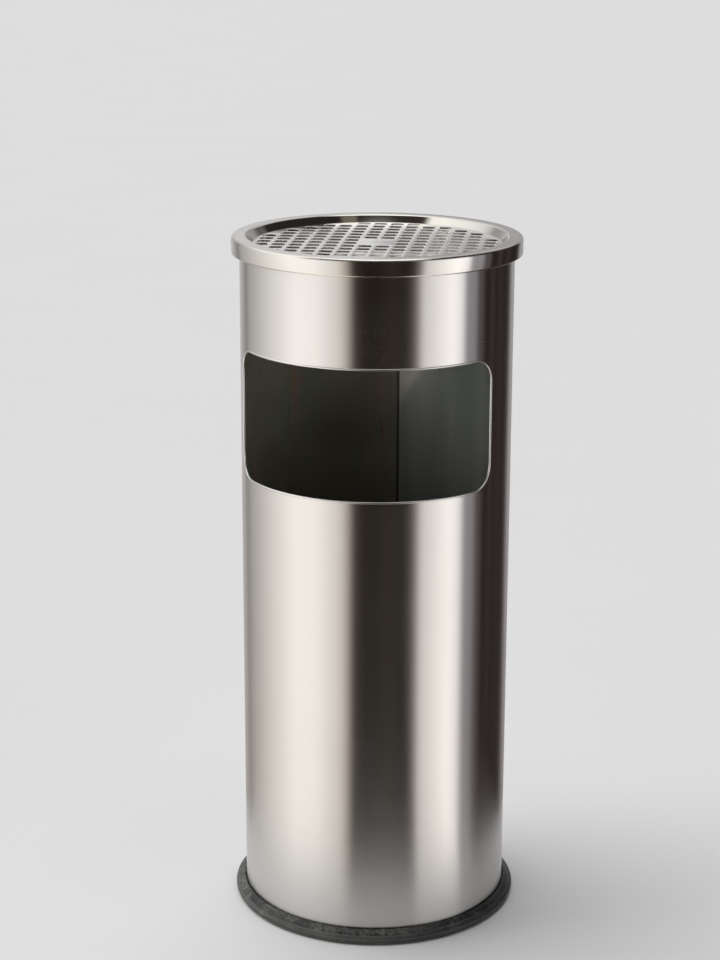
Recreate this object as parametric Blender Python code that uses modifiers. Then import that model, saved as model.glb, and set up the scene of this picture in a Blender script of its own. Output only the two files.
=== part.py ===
"""A round ashtray bin: steel tube with a side opening, lift-off ashtray, rubber base ring and inner bucket.

Metres, +Z up. The origin is the centre of the footprint, at floor level. The side opening faces -Y.
"""

import math

import bmesh
import bpy
import numpy as np

MM = 0.001
GAP = 0.3 * MM  # between pieces that touch on the real object
SEGMENTS = 48  # facets round every turned piece, so that neighbours' facets line up

# Driving dimensions
HEIGHT = 610 * MM
SHELL_RADIUS = 118.8 * MM  # outside of the tube
SHELL_SHEET = 0.8 * MM
PRESSED_SHEET = 0.9 * MM  # ashtray, bottom plate and bucket
RIM_RADIUS = 125.8 * MM  # outside of the ashtray's skirt
RIM_INNER_RADIUS = 112.0 * MM  # where the flat rim turns down into the bowl
SKIRT_HEIGHT = 14.8 * MM
OPENING_LOW = 404.3 * MM
OPENING_HIGH = 516.1 * MM
OPENING_HALF_ANGLE = math.radians(64.6)
OPENING_CORNER = 20.5 * MM
OPENING_COLUMNS = 19  # points along its straight stretches
LIP_RADIUS = 1.0 * MM  # rolled edge round the opening
RING_RADIUS = 128.2 * MM
RING_HEIGHT = 12.6 * MM
STRAINER_RADIUS = 107.2 * MM
STRAINER_TOP = 603.45 * MM
STRAINER_SHEET = 0.8 * MM
HOLE_SIZE = 11 * MM
HOLE_PITCH = 15 * MM
HOLE_REACH = 100.5 * MM  # a hole is punched only where its centre is nearer the middle than this
PATTERN_TURN = math.radians(3.7)
LINER_RADIUS = 107.5 * MM
LINER_TOP = 330 * MM
PIVOT_HEIGHT = 316 * MM
BAIL_RADIUS = 115.2 * MM  # clears the rolled rim as it swings over
BAIL_WIRE = 2 * MM
BAIL_DROP = math.radians(13.4)  # the bail lies against the bucket, this far below level

# Sizes that follow from them
SHELL_MIDDLE = SHELL_RADIUS - SHELL_SHEET / 2
SHELL_INNER = SHELL_RADIUS - SHELL_SHEET
SHELL_FOOT = 3.4 * MM
PLATE_MIDDLE = SHELL_INNER - GAP - PRESSED_SHEET / 2
PLATE_LEVEL = 17.6 * MM
LINER_MIDDLE = LINER_RADIUS - PRESSED_SHEET / 2
LINER_INNER = LINER_RADIUS - PRESSED_SHEET
LINER_FOOT = PLATE_LEVEL + PRESSED_SHEET / 2 + GAP
RIM_WIRE = 1.5 * MM
CURL_RADIUS = RIM_WIRE + GAP + PRESSED_SHEET / 2
CURL_CENTRE = (LINER_MIDDLE + CURL_RADIUS, LINER_TOP - CURL_RADIUS - PRESSED_SHEET / 2)
SEAT_LEVEL = STRAINER_TOP - STRAINER_SHEET - GAP - PRESSED_SHEET / 2
EAR_SHEET = 1.5 * MM
EAR_INNER = LINER_RADIUS + GAP
EAR_OUTER = EAR_INNER + EAR_SHEET
EAR_WIDTH = 20 * MM
EAR_LOW = 290 * MM
EAR_HIGH = 323.8 * MM
BOSS_RADIUS = 6 * MM
BOSS_FACE = 110.7 * MM
PIVOT_HOLE = BAIL_WIRE + GAP
RIVET_SHANK = 1.9 * MM
RIVET_HOLE = RIVET_SHANK + GAP
RIVET_HEIGHTS = {"upper": 305 * MM, "lower": 297 * MM}
LONG = 40 * MM  # how far a cutter runs past the wall that it cuts


def clear_scene():
    for obj in list(bpy.data.objects):
        bpy.data.objects.remove(obj, do_unlink=True)


def new_collection(name):
    collection = bpy.data.collections.new(name)
    bpy.context.scene.collection.children.link(collection)
    return collection


def new_material(name, colour, roughness, metallic):
    material = bpy.data.materials.new(name)
    material.use_nodes = True
    shader = material.node_tree.nodes["Principled BSDF"]
    shader.inputs["Base Color"].default_value = (*colour, 1)
    shader.inputs["Roughness"].default_value = roughness
    shader.inputs["Metallic"].default_value = metallic
    material.diffuse_color = (*colour, 1)
    return material


def add(name, mesh, material=None):
    """Puts a mesh in the scene: a part when it has a material, and a cutter when it has none."""
    obj = bpy.data.objects.new(name, mesh)
    if material:
        parts.objects.link(obj)
        mesh.materials.append(material)
    else:
        cutters.objects.link(obj)
        obj.hide_render = True
        obj.display_type = "WIRE"
    return obj


def arc(centre, radius, start, end, steps):
    """Points round a centre, from one angle to another in degrees, both ends included."""
    angles = np.radians(np.linspace(start, end, steps + 1))
    return [(centre[0] + radius * math.cos(a), centre[1] + radius * math.sin(a)) for a in angles]


def turned(name, profile, material=None, closed=False, segments=SEGMENTS):
    """A (radius, height) profile turned about Z. A solid's profile runs down its outer side."""
    count = len(profile)
    edges = [(i, i + 1) for i in range(count - 1)]
    if closed:
        edges.append((count - 1, 0))
    mesh = bpy.data.meshes.new(name)
    mesh.from_pydata([(r, 0, z) for r, z in profile], edges, [])
    obj = add(name, mesh, material)
    screw = obj.modifiers.new("Turn", "SCREW")
    screw.steps = segments
    screw.render_steps = segments
    screw.use_merge_vertices = True
    screw.merge_threshold = 0.00001
    screw.use_smooth_shade = True
    return obj


def thicken(obj, thickness):
    """Gives an open surface a wall, half on each side of it."""
    solidify = obj.modifiers.new("Sheet", "SOLIDIFY")
    solidify.thickness = thickness
    solidify.offset = 0
    solidify.use_even_offset = True


def boolean(obj, other, operation="DIFFERENCE"):
    modifier = obj.modifiers.new(other.name, "BOOLEAN")
    modifier.operation = operation
    modifier.object = other


def patch_columns(half_width, corner, columns):
    """Places across a round-cornered patch: (sideways place, how far the corners lower its height there)."""
    inner = half_width - corner
    bend = [(inner + corner * math.sin(a), corner * (1 - math.cos(a)))
            for a in np.radians(np.linspace(0, 90, 7))]
    straight = [(s, 0.0) for s in np.linspace(-inner, inner, columns)][1:-1]
    return [(-s, drop) for s, drop in reversed(bend)] + straight + bend


def wrapped_patch(name, radius, facing, half_width, low, high, corner, columns, material=None):
    """A round-cornered rectangle bent round the bin's axis; facing is the angle from +X of its middle."""
    places = patch_columns(half_width, corner, columns)
    mesh = bpy.data.meshes.new(name)
    bm = bmesh.new()
    bmesh.ops.create_grid(bm, x_segments=len(places) - 1, y_segments=1, size=1)
    for vertex in bm.verts:
        sideways, drop = places[round((vertex.co.x + 1) / 2 * (len(places) - 1))]
        angle = facing + sideways / radius
        height = high - drop if vertex.co.y > 0 else low + drop
        vertex.co = (radius * math.cos(angle), radius * math.sin(angle), height)
    bm.to_mesh(mesh)
    bm.free()
    return add(name, mesh, material)


def wire_curve(name, points, radius, closed):
    """A round wire along the points, as a curve object."""
    curve = bpy.data.curves.new(name, "CURVE")
    curve.dimensions = "3D"
    curve.bevel_depth = radius
    curve.bevel_resolution = 2
    curve.use_fill_caps = not closed
    spline = curve.splines.new("POLY")
    spline.points.add(len(points) - 1)
    for point, place in zip(spline.points, points):
        point.co = (*place, 1)
    spline.use_cyclic_u = closed
    return bpy.data.objects.new(name, curve)


def meshed(curve_object, material=None):
    """The mesh of a curve object, with its caps welded, in place of the curve."""
    name = curve_object.name
    bpy.context.scene.collection.objects.link(curve_object)
    graph = bpy.context.evaluated_depsgraph_get()
    mesh = bpy.data.meshes.new_from_object(curve_object.evaluated_get(graph))
    place = curve_object.matrix_world.copy()
    bm = bmesh.new()
    bm.from_mesh(mesh)
    bmesh.ops.remove_doubles(bm, verts=bm.verts, dist=0.000001)
    bm.to_mesh(mesh)
    bm.free()
    bpy.data.objects.remove(curve_object)
    mesh.materials.clear()
    obj = add(name, mesh, material)
    obj.matrix_world = place
    return obj


def cylinder(name, radius, depth, location, rotation, segments=16):
    """A solid cylinder along its own Z, kept with the cutters."""
    mesh = bpy.data.meshes.new(name)
    bm = bmesh.new()
    bmesh.ops.create_cone(
        bm, cap_ends=True, segments=segments, radius1=radius, radius2=radius, depth=depth)
    bm.to_mesh(mesh)
    bm.free()
    obj = add(name, mesh)
    obj.location = location
    obj.rotation_euler = rotation
    return obj


def soften(obj, angle=math.radians(35)):
    obj.data.shade_smooth()
    obj.data.set_sharp_from_angle(angle=angle)


def opening_outline():
    """The path of the rolled lip: the opening's edge, half the lip outside the clear opening."""
    half_width = SHELL_MIDDLE * OPENING_HALF_ANGLE + LIP_RADIUS
    corner = OPENING_CORNER + LIP_RADIUS
    places = patch_columns(half_width, corner, OPENING_COLUMNS)
    top = [(s, OPENING_HIGH + LIP_RADIUS - drop) for s, drop in places]
    bottom = [(s, OPENING_LOW - LIP_RADIUS + drop) for s, drop in reversed(places)]
    points = []
    for sideways, height in top + bottom:
        angle = math.radians(-90) + sideways / SHELL_MIDDLE
        points.append((SHELL_MIDDLE * math.cos(angle), SHELL_MIDDLE * math.sin(angle), height))
    return points


def make_shell():
    """Rolled tube: open at both ends, with a bead rolled outwards at the top to carry the ashtray."""
    bead_radius = 2.6 * MM
    bead_top = HEIGHT - PRESSED_SHEET - GAP
    bead_centre = (SHELL_MIDDLE + bead_radius, bead_top - bead_radius - SHELL_SHEET / 2)
    profile = arc(bead_centre, bead_radius, -110, 180, 9) + [(SHELL_MIDDLE, SHELL_FOOT)]
    shell = turned("body_shell", profile, steel)
    thicken(shell, SHELL_SHEET)
    half_width = SHELL_MIDDLE * OPENING_HALF_ANGLE + LIP_RADIUS
    cutter = wrapped_patch(
        "opening_cutter", SHELL_MIDDLE, math.radians(-90), half_width, OPENING_LOW - LIP_RADIUS,
        OPENING_HIGH + LIP_RADIUS, OPENING_CORNER + LIP_RADIUS, OPENING_COLUMNS)
    thicken(cutter, LONG)
    boolean(shell, cutter)
    lip = meshed(wire_curve("opening_lip", opening_outline(), LIP_RADIUS, closed=True))
    boolean(shell, lip, "UNION")


def make_bottom_plate():
    """Pressed plate with its edge turned down inside the tube."""
    corner = 3 * MM
    profile = [(0, PLATE_LEVEL)]
    profile += arc((PLATE_MIDDLE - corner, PLATE_LEVEL - corner), corner, 90, 0, 3)
    profile += [(PLATE_MIDDLE, SHELL_FOOT)]
    plate = turned("bottom_plate", profile, steel)
    thicken(plate, PRESSED_SHEET)


def make_base_ring():
    """Rubber ring with a groove that grips the tube and the plate's edge."""
    groove_outer = SHELL_RADIUS + GAP
    groove_inner = PLATE_MIDDLE - PRESSED_SHEET / 2 - GAP
    groove_floor = SHELL_FOOT - GAP
    inner_leg = 2.6 * MM
    leg_top = 11.4 * MM
    outside = [
        (groove_outer, RING_HEIGHT - 0.6 * MM),
        (groove_outer + 0.9 * MM, RING_HEIGHT),
        (groove_outer + 3.4 * MM, RING_HEIGHT - 1.2 * MM),
        (RING_RADIUS - 1.6 * MM, 9.2 * MM),
        (RING_RADIUS - 0.2 * MM, 6.8 * MM),
        (RING_RADIUS, 4.8 * MM),
        (RING_RADIUS - 0.8 * MM, 1.8 * MM),
        (RING_RADIUS - 2.8 * MM, 0),
    ]
    inside = [
        (groove_inner - inner_leg + 1 * MM, 0),
        (groove_inner - inner_leg, 1 * MM),
        (groove_inner - inner_leg, leg_top - 1 * MM),
        (groove_inner - 1.2 * MM, leg_top),
        (groove_inner, leg_top),
        (groove_inner, groove_floor),
        (groove_outer, groove_floor),
    ]
    turned("base_ring", outside + inside, rubber, closed=True)


def pan_profile():
    """Half section of the ashtray's sheet, from its middle out over the rim and down the skirt."""
    half = PRESSED_SHEET / 2
    top = HEIGHT - half
    floor = 574 * MM
    floor_radius = 84 * MM
    floor_corner = 12 * MM
    wall_top = 101.8 * MM
    edge = 2.4 * MM
    skirt = RIM_RADIUS - half
    hem = 0.9 * MM
    profile = [(0, floor), (floor_radius, floor + 0.4 * MM)]
    profile += arc((floor_radius, floor + 0.4 * MM + floor_corner), floor_corner, -65, -12, 3)
    profile += [(wall_top, SEAT_LEVEL - 1.6 * MM), (wall_top + 1.4 * MM, SEAT_LEVEL)]
    profile += [(STRAINER_RADIUS + 0.8 * MM, SEAT_LEVEL)]
    profile += arc((RIM_INNER_RADIUS + edge, top - edge), edge, 145, 90, 2)
    profile += arc((skirt - edge, top - edge), edge, 90, 0, 3)
    profile += arc((skirt - hem, HEIGHT - SKIRT_HEIGHT + half + hem), hem, 0, -180, 3)
    return profile


def make_pan():
    pan = turned("ashtray_pan", pan_profile(), steel)
    thicken(pan, PRESSED_SHEET)


def hole_centres():
    """Square grid with a web crossing in the middle; the four cells round the middle stay solid."""
    steps = np.arange(-6.5, 7, 1)
    across, along = (g.ravel() * HOLE_PITCH for g in np.meshgrid(steps, steps))
    reach = np.hypot(across, along)
    keep = (reach < HOLE_REACH) & (reach > HOLE_PITCH)
    return np.column_stack([across[keep], along[keep]])


def make_strainer():
    """Punched disc, drawn flat as an outline with holes."""
    curve = bpy.data.curves.new("ash_strainer", "CURVE")
    curve.dimensions = "2D"
    curve.fill_mode = "BOTH"
    curve.extrude = STRAINER_SHEET / 2
    angles = np.linspace(0, 2 * math.pi, 2 * SEGMENTS, endpoint=False)
    loops = [np.column_stack([np.cos(angles), np.sin(angles)]) * STRAINER_RADIUS]
    square = np.array([(1, 1), (1, -1), (-1, -1), (-1, 1)]) * HOLE_SIZE / 2
    loops += [centre + square for centre in hole_centres()]
    for loop in loops:
        spline = curve.splines.new("POLY")
        spline.points.add(len(loop) - 1)
        for point, place in zip(spline.points, loop):
            point.co = (*place, 0, 1)
        spline.use_cyclic_u = True
    strainer = meshed(bpy.data.objects.new("ash_strainer", curve), steel)
    strainer.location = (0, 0, STRAINER_TOP - STRAINER_SHEET / 2)
    strainer.rotation_euler = (0, 0, PATTERN_TURN)


def make_liner():
    """The bucket: a wall with a wired rim, and a base pressed into its lower end."""
    profile = arc(CURL_CENTRE, CURL_RADIUS, -150, 180, 8) + [(LINER_MIDDLE, LINER_FOOT)]
    wall = turned("liner_wall", profile, zinc)
    thicken(wall, PRESSED_SHEET)
    wire = [(CURL_CENTRE[0] + RIM_WIRE * math.cos(a), CURL_CENTRE[1] + RIM_WIRE * math.sin(a))
            for a in np.radians(np.arange(0, -360, -60))]
    turned("liner_rim_wire", wire, zinc, closed=True)
    base_middle = LINER_INNER - GAP - PRESSED_SHEET / 2
    level = LINER_FOOT + 9 * MM
    corner = 3 * MM
    outline = [(0, level)] + arc((base_middle - corner, level - corner), corner, 90, 0, 3)
    outline += [(base_middle, LINER_FOOT + GAP)]
    base = turned("liner_base", outline, zinc)
    thicken(base, PRESSED_SHEET)
    return wall


def make_rivet(name, side, height):
    """Domed rivet through an ear and the bucket's wall, made along Z and laid along X."""
    head_face = EAR_OUTER + GAP
    tail_face = LINER_INNER - GAP
    profile = [(0, head_face + 1.3 * MM), (1.9 * MM, head_face + 1.1 * MM), (3.4 * MM, head_face)]
    profile += [(RIVET_SHANK, head_face), (RIVET_SHANK, tail_face), (2.8 * MM, tail_face)]
    profile += [(2.4 * MM, tail_face - 0.8 * MM), (0, tail_face - 0.8 * MM)]
    rivet = turned(name, profile, zinc, segments=16)
    rivet.location = (0, 0, height)
    rivet.rotation_euler = (0, math.radians(90) * side, 0)


def make_ear(side_name, side, wall):
    """Plate on the outside of the bucket, with a boss that the bail hooks into."""
    facing = 0 if side > 0 else math.pi
    sideways = (0, math.radians(90), 0)
    ear = wrapped_patch(
        f"liner_ear_{side_name}", (EAR_INNER + EAR_OUTER) / 2, facing, EAR_WIDTH / 2,
        EAR_LOW, EAR_HIGH, 5 * MM, 4, zinc)
    thicken(ear, EAR_SHEET)
    boss_depth = BOSS_FACE - EAR_INNER - EAR_SHEET / 2
    boss = cylinder(
        f"boss_{side_name}", BOSS_RADIUS, boss_depth,
        (side * (BOSS_FACE - boss_depth / 2), 0, PIVOT_HEIGHT), sideways, 24)
    boolean(ear, boss, "UNION")
    bore = cylinder(
        f"pivot_hole_{side_name}", PIVOT_HOLE, LONG, (side * EAR_OUTER, 0, PIVOT_HEIGHT), sideways)
    boolean(ear, bore)
    for place, height in RIVET_HEIGHTS.items():
        hole = cylinder(
            f"rivet_hole_{side_name}_{place}", RIVET_HOLE, LONG, (side * LINER_RADIUS, 0, height), sideways)
        boolean(ear, hole)
        boolean(wall, hole)
        make_rivet(f"ear_rivet_{side_name}_{place}", side, height)


def make_bail():
    """Half hoop of wire whose ends hook into the ears; its origin is on the swing axis."""
    hook_end = 108.6 * MM
    hook_bend = 3 * MM
    first = hook_bend / BAIL_RADIUS
    hoop = [(BAIL_RADIUS * math.cos(a), -BAIL_RADIUS * math.sin(a), 0)
            for a in np.linspace(first, math.pi - first, 37)]
    bend = [(BAIL_RADIUS - hook_bend * (1 - math.cos(a)), -hook_bend * (1 - math.sin(a)), 0)
            for a in np.radians((30, 60, 90))]
    start = [(hook_end, 0, 0)] + bend[::-1]
    finish = [(-x, y, z) for x, y, z in reversed(start)]
    bail = meshed(wire_curve("bail_handle", start + hoop + finish, BAIL_WIRE, closed=False), zinc)
    pivot = bpy.data.objects.new("bail_pivot", None)
    parts.objects.link(pivot)
    pivot.location = (0, 0, PIVOT_HEIGHT)
    pivot.rotation_euler = (BAIL_DROP, 0, 0)
    bail.parent = pivot


clear_scene()
parts = new_collection("ashtray_bin")
cutters = new_collection("cutters")
steel = new_material("stainless_steel", (0.62, 0.60, 0.57), 0.28, 1.0)
rubber = new_material("black_rubber", (0.045, 0.045, 0.045), 0.75, 0.0)
zinc = new_material("zinc_plated_steel", (0.42, 0.43, 0.43), 0.45, 1.0)

make_shell()
make_bottom_plate()
make_base_ring()
make_pan()
make_strainer()
bucket_wall = make_liner()
make_ear("right", 1, bucket_wall)
make_ear("left", -1, bucket_wall)
make_bail()

bpy.context.view_layer.update()
for part in parts.objects:
    if part.type == "MESH" and not part.modifiers:
        soften(part)
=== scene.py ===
# %% [markdown]
# # A round ashtray bin
#
# The bin is a rolled stainless tube with a side opening, a lift-off ashtray on top, a rubber
# ring round its foot and a galvanised bucket inside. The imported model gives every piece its
# place and its motion. This script remakes the pieces as fine surfaces, gives each its finish
# and lights them like a studio table.
#
# The frame is loaded first. Every piece made below rides on one of its bodies.

import math

import bmesh
import bpy
import numpy as np
from mathutils import Matrix, geometry


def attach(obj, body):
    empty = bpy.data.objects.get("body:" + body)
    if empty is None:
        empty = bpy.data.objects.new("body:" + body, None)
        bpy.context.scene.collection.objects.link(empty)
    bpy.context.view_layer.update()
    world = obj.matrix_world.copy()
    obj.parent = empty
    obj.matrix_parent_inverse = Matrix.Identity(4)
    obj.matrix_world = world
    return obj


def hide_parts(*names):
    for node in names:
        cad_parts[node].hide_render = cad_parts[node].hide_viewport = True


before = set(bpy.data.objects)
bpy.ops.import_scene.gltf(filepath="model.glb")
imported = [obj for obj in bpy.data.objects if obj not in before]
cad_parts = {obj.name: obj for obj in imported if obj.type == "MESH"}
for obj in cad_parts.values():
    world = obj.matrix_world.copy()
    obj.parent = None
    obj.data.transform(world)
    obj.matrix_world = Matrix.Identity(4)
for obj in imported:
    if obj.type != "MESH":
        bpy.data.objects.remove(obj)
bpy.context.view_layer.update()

# %% [markdown]
# ## Camera
#
# The bin is seen a little from above and a little from its right, so that the opening is
# turned 10 degrees to the left. A camera is a matrix whose columns are its right, its up and
# its backward direction. They are worked out from three small angles, then the whole set is
# turned round the bin.

# %% Camera
MM = 0.001
VIEW_TURN = math.radians(10.1)
CAMERA_DISTANCE = 1.86
CAMERA_HEIGHT = 0.9153
CAMERA_LENS = 81.6
PITCH = math.radians(15.767)
YAW = math.radians(-0.436)
ROLL = math.radians(0.163)

ahead = np.array([math.sin(YAW) * math.cos(PITCH), math.cos(YAW) * math.cos(PITCH), -math.sin(PITCH)])
level = np.array([math.cos(YAW), -math.sin(YAW), 0])
above = np.cross(level, ahead)
right = level * math.cos(ROLL) + above * math.sin(ROLL)
up = above * math.cos(ROLL) - level * math.sin(ROLL)
pose = Matrix.Identity(4)
for column, direction in enumerate((right, up, -ahead)):
    for row in range(3):
        pose[row][column] = direction[row]
pose.translation = (0, -CAMERA_DISTANCE, CAMERA_HEIGHT)

camera = bpy.data.objects.new("camera", bpy.data.cameras.new("camera"))
camera.data.lens = CAMERA_LENS
camera.data.sensor_width = 36
camera.data.clip_end = 200
camera.matrix_world = Matrix.Rotation(VIEW_TURN, 4, "Z") @ pose
bpy.context.scene.collection.objects.link(camera)
bpy.context.scene.camera = camera
bpy.context.scene.view_settings.view_transform = "Standard"
print("camera at", [round(c, 3) for c in camera.matrix_world.translation])

# %% [markdown]
# ## Grids
#
# Nearly every piece of this bin is a sheet that was turned, rolled or drawn, so nearly every
# surface is a grid: one parameter runs along a profile and the other runs round. One helper
# numbers the quads of such a grid and gives each corner its place on the sheet in metres, so
# that a finish can follow the metal.

# %% Grids and pieces
def grid_patch(points, along=None, across=None, close_rows=False, close_columns=False, keep=None,
               material=0, smooth=True):
    """A patch from points[row, column]: cell (r, c) joins its four corners, and a closed
    direction takes its last line back to the first. along and across give the place of each
    column and row on the sheet, with one more value where that direction is closed."""
    rows, columns = points.shape[:2]
    r, c = np.meshgrid(np.arange(rows - (not close_rows)), np.arange(columns - (not close_columns)),
                       indexing="ij")
    if keep is not None:
        r, c = r[keep], c[keep]
    r, c = r.ravel(), c.ravel()
    corner_rows = np.stack([r, r, r + 1, r + 1], axis=1)
    corner_columns = np.stack([c, c + 1, c + 1, c], axis=1)
    quads = (corner_rows % rows) * columns + corner_columns % columns
    along = np.zeros(columns + 1) if along is None else np.asarray(along)
    across = np.zeros(rows + 1) if across is None else np.asarray(across)
    places = np.stack([along[corner_columns], across[corner_rows]], axis=2)
    return points.reshape(-1, 3), quads, places.reshape(-1, 2), material, smooth


def add_piece(name, patches, materials, body, replaced=()):
    """One closed mesh from several patches: their shared edges are merged, the faces are turned
    outwards, the piece is tied to its body, and the nodes it stands for are hidden."""
    points = np.concatenate([patch[0] for patch in patches])
    offsets = np.cumsum([0] + [len(patch[0]) for patch in patches])
    faces = [face for patch, offset in zip(patches, offsets) for face in (patch[1] + offset).tolist()]
    mesh = bpy.data.meshes.new(name)
    mesh.from_pydata(points.tolist(), [], faces)
    places = mesh.uv_layers.new(name="sheet")
    places.data.foreach_set("uv", np.concatenate([patch[2] for patch in patches]).ravel())
    index = np.concatenate([np.full(len(patch[1]), patch[3]) for patch in patches])
    smooth = np.concatenate([np.full(len(patch[1]), patch[4]) for patch in patches])
    mesh.polygons.foreach_set("material_index", index)
    mesh.polygons.foreach_set("use_smooth", smooth)
    for material in materials:
        mesh.materials.append(material)
    bm = bmesh.new()
    bm.from_mesh(mesh)
    bmesh.ops.remove_doubles(bm, verts=bm.verts, dist=0.0005 * MM)
    bmesh.ops.recalc_face_normals(bm, faces=bm.faces)
    open_edges = sum(edge.is_boundary for edge in bm.edges)
    bm.to_mesh(mesh)
    bm.free()
    mesh.set_sharp_from_angle(angle=math.radians(42))
    piece = bpy.data.objects.new(name, mesh)
    bpy.context.scene.collection.objects.link(piece)
    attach(piece, body)
    if replaced:
        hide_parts(*replaced)
    print(f"{name}: {len(mesh.polygons)} faces, {open_edges} open edges")
    return piece


# %% [markdown]
# ## Profiles
#
# A pressed sheet is drawn as the line along its middle. Offsetting that line by half the
# sheet to both sides and rounding the cut edges gives the closed outline of its section. The
# offset direction at a point is the mean of the two neighbouring normals, stretched so that
# the sheet keeps its thickness round a corner.

# %% Profiles
def arc(centre, radius, start, end, steps):
    """Points on a circle from one angle to another in degrees, both ends included."""
    angles = np.radians(np.linspace(start, end, steps + 1))
    return np.column_stack([centre[0] + radius * np.cos(angles), centre[1] + radius * np.sin(angles)])


def line(start, end, steps):
    """Evenly spaced points on a straight line, both ends included."""
    return np.linspace(start, end, steps + 1)


def joined(*runs):
    """Runs of points one after another, with repeated points dropped."""
    points = np.concatenate([np.atleast_2d(run) for run in runs])
    moved = np.linalg.norm(np.diff(points, axis=0), axis=1) > 1e-8
    return points[np.concatenate([[True], moved])]


def rounded(points, radius, steps=4, closed=True):
    """A polygon with each corner replaced by a quadratic curve that starts and ends radius
    away from it, or at a third of the edge where the edge is short."""
    points = np.asarray(points, float)
    before = np.roll(points, 1, axis=0) - points
    after = np.roll(points, -1, axis=0) - points
    reach_before = np.minimum(radius, np.linalg.norm(before, axis=1) / 3)[:, None]
    reach_after = np.minimum(radius, np.linalg.norm(after, axis=1) / 3)[:, None]
    start = points + before / np.linalg.norm(before, axis=1)[:, None] * reach_before
    end = points + after / np.linalg.norm(after, axis=1)[:, None] * reach_after
    t = np.linspace(0, 1, steps + 1)[None, :, None]
    curves = (1 - t) ** 2 * start[:, None] + 2 * t * (1 - t) * points[:, None] + t ** 2 * end[:, None]
    if closed:
        return curves.reshape(-1, 2)
    return joined(points[:1], curves[1:-1].reshape(-1, 2), points[-1:])


def offset_sides(middle, sheet):
    """The two lines that lie half a sheet to the left and to the right of the middle line."""
    steps = np.diff(middle, axis=0)
    steps /= np.linalg.norm(steps, axis=1)[:, None]
    normals = np.column_stack([-steps[:, 1], steps[:, 0]])
    first = np.vstack([normals[:1], normals])
    second = np.vstack([normals, normals[-1:]])
    mean = (first + second) / (1 + np.sum(first * second, axis=1))[:, None]
    return middle + mean * sheet / 2, middle - mean * sheet / 2


def sheet_outline(middle, sheet, steps=4):
    """Closed outline of a sheet's section: the left side, a half-round cut edge, the right side
    back again, and a half-round cut edge. An end on the axis is left flat."""
    left, right = offset_sides(middle, sheet)

    def cut_edge(start, end):
        centre = (start + end) / 2
        heading = math.degrees(math.atan2(*(start - centre)[::-1]))
        return arc(centre, np.linalg.norm(start - centre), heading, heading - 180, steps)[1:-1]

    runs = [left, cut_edge(left[-1], right[-1]), right[::-1]]
    if middle[0][0] > 0:
        runs.append(cut_edge(right[0], left[0]))
    return np.concatenate(runs)


def distances(points):
    """How far each point lies along the line through them, starting at 0."""
    steps = np.linalg.norm(np.diff(points, axis=0), axis=1)
    return np.concatenate([[0], np.cumsum(steps)])


# %% [markdown]
# ## Turning and sweeping
#
# A turned piece is its outline carried round the bin's axis. A wire is a circle carried along
# a path: at each point the circle lies in the plane of a chosen normal and of the direction
# square to both the normal and the path.

# %% Turning and sweeping
TURN_STEPS = 288
SEAM_TURN = math.radians(180.2)  # from the front, towards +X: where the tube's weld runs


def turned(outline, steps=TURN_STEPS, material=0, start=SEAM_TURN):
    """The outline (radius, height) carried round Z. An outline that touches the axis is left
    open there and its two ends close to a point each; any other is a ring."""
    outline = np.where([[True, False]] & (np.abs(outline) < 0.01 * MM), 0, outline)
    ring = bool(outline[:, 0].min() > 0)
    angles = start + np.linspace(0, 2 * math.pi, steps, endpoint=False)
    radii, heights = outline[:, :1], outline[:, 1:]
    points = np.stack([radii * np.sin(angles), -radii * np.cos(angles),
                       heights + 0 * angles], axis=2)
    along = np.linspace(0, 2 * math.pi, steps + 1) * outline[:, 0].max()
    across = distances(np.vstack([outline, outline[:1]]))
    return grid_patch(points, along, across, close_rows=ring, close_columns=True, material=material)


def tube(path, normals, radii, sides=16, closed=False):
    """A round wire along the path. normals holds one direction or one for each point, square
    to the path; radii holds one radius or one for each point."""
    ahead = np.roll(path, -1, axis=0) - np.roll(path, 1, axis=0)
    if not closed:
        ahead = np.gradient(path, axis=0)
        ahead[0], ahead[-1] = ahead[1], ahead[-2]
    ahead /= np.linalg.norm(ahead, axis=1)[:, None]
    normals = np.broadcast_to(normals, path.shape)
    sideways = np.cross(ahead, normals)
    sideways /= np.linalg.norm(sideways, axis=1)[:, None]
    turns = np.linspace(0, 2 * math.pi, sides, endpoint=False)[None, :, None]
    radii = np.broadcast_to(radii, len(path))[:, None, None]
    points = path[:, None] + radii * (np.cos(turns) * normals[:, None] + np.sin(turns) * sideways[:, None])
    loop = np.vstack([path, path[:1]]) if closed else path
    around = np.linspace(0, 2 * math.pi, sides + 1) * float(radii.max())
    return grid_patch(points, around, distances(loop), close_rows=closed, close_columns=True)


# %% [markdown]
# ## The studio
#
# A mirror-like cylinder shows the room, not itself: each vertical stripe on it is a stripe of
# the room round it. So the light here is a painted surround. Two bright walls stand left and
# right, a dark gap lies between them behind the camera, and a dark corner with a few thin
# bright edges lies far to the right. The colour depends on the compass direction, with one
# ramp for light near the horizon, one for light from higher up and a soft lamp overhead. The
# camera itself sees a plain pale backdrop.

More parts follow.
